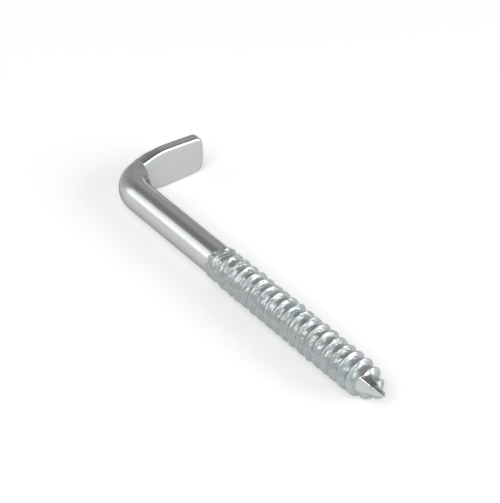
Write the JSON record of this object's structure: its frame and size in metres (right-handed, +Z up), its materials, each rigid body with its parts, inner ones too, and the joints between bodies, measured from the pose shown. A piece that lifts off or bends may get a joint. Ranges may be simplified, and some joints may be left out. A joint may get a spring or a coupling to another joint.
{
  "type": "screw-in l-hook",
  "caption": "Screw-in L-hook: round zinc-plated steel bar bent square, short arm pressed to a flat blade, long arm with a wood-screw thread and gimlet point.",
  "frame": {"origin": "on the floor under the middle of the hook's box, the hook lying flat on its blade's lower edge", "axes": "+X along the screw axis towards the point, +Y along the arm away from the screw axis, +Z up"},
  "size_m": [0.071, 0.0188, 0.0072],
  "materials": {
    "zinc_plated_steel": "bright zinc plating, glossy on the shank and satin on the pressed blade and the rolled thread"
  },
  "bodies": {
    "root": {"l_hook": "zinc_plated_steel"}
  },
  "joints": []
}
